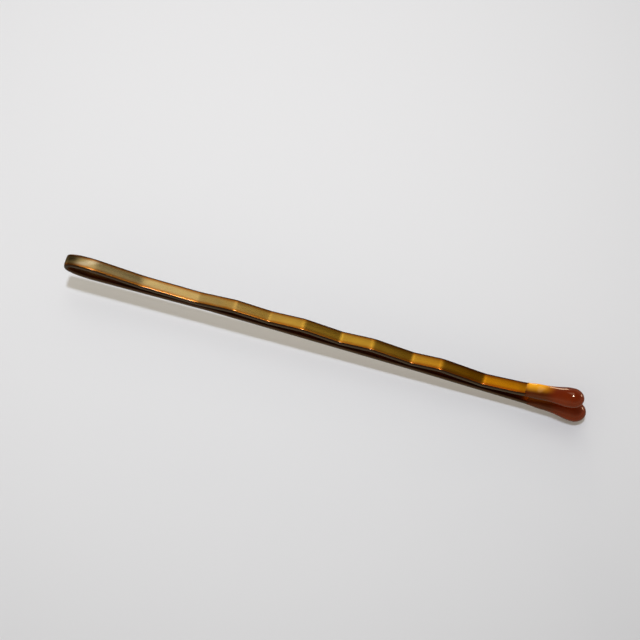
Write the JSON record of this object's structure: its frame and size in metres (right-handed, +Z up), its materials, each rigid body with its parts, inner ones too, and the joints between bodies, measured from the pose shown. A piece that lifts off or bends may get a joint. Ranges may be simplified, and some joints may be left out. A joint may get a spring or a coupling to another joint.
{
  "type": "bobby pin",
  "caption": "Hair grip of flat spring wire: a straight leg and a waved leg that meet in a narrow loop, with a resin ball on each end.",
  "frame": {"origin": "middle of the bounding box, on the surface that the grip lies on", "axes": "+X from the loop towards the tips, +Y across the width of the wire, +Z up through the straight leg and then the waved leg"},
  "size_m": [0.0508, 0.002, 0.0047],
  "materials": {
    "lacquered_wire": "rolled flat spring steel under a thin clear amber-brown lacquer, glossy, redder along its rounded edges",
    "resin_tip": "dipped brown-red resin, glossy and a little see-through where it is thin"
  },
  "bodies": {
    "straight_leg": {"straight_leg": "lacquered_wire", "straight_leg_tip": "resin_tip"},
    "nose_bend": {"nose_bend": "lacquered_wire"},
    "loop_shoulder": {"loop_shoulder": "lacquered_wire"},
    "crimped_leg_root": {"crimped_leg_root": "lacquered_wire"},
    "crimped_leg": {"crimped_leg": "lacquered_wire", "crimped_leg_tip": "resin_tip"}
  },
  "joints": [
    {"name": "nose_lower_flex", "type": "hinge", "parent": "straight_leg", "child": "nose_bend", "pos_m": [-0.02359, 0, 0.00007], "axis": [0, -1, 0], "range_deg": [0, 5], "stiffness_Nm_per_rad": 0.21},
    {"name": "nose_upper_flex", "type": "hinge", "parent": "nose_bend", "child": "loop_shoulder", "pos_m": [-0.02366, 0, 0.00213], "axis": [0, -1, 0], "range_deg": [0, 5], "stiffness_Nm_per_rad": 0.21},
    {"name": "shoulder_flex", "type": "hinge", "parent": "loop_shoulder", "child": "crimped_leg_root", "pos_m": [-0.01495, 0, 0.00175], "axis": [0, -1, 0], "range_deg": [0, 5], "stiffness_Nm_per_rad": 0.17},
    {"name": "crimped_leg_flex", "type": "hinge", "parent": "crimped_leg_root", "child": "crimped_leg", "pos_m": [-0.00384, 0, 0.00239], "axis": [0, -1, 0], "range_deg": [0, 5], "stiffness_Nm_per_rad": 0.125}
  ],
  "couplings": [
    {"joint": "nose_upper_flex", "follows": "nose_lower_flex", "ratio": 1},
    {"joint": "shoulder_flex", "follows": "nose_lower_flex", "ratio": 1},
    {"joint": "crimped_leg_flex", "follows": "nose_lower_flex", "ratio": 1}
  ]
}
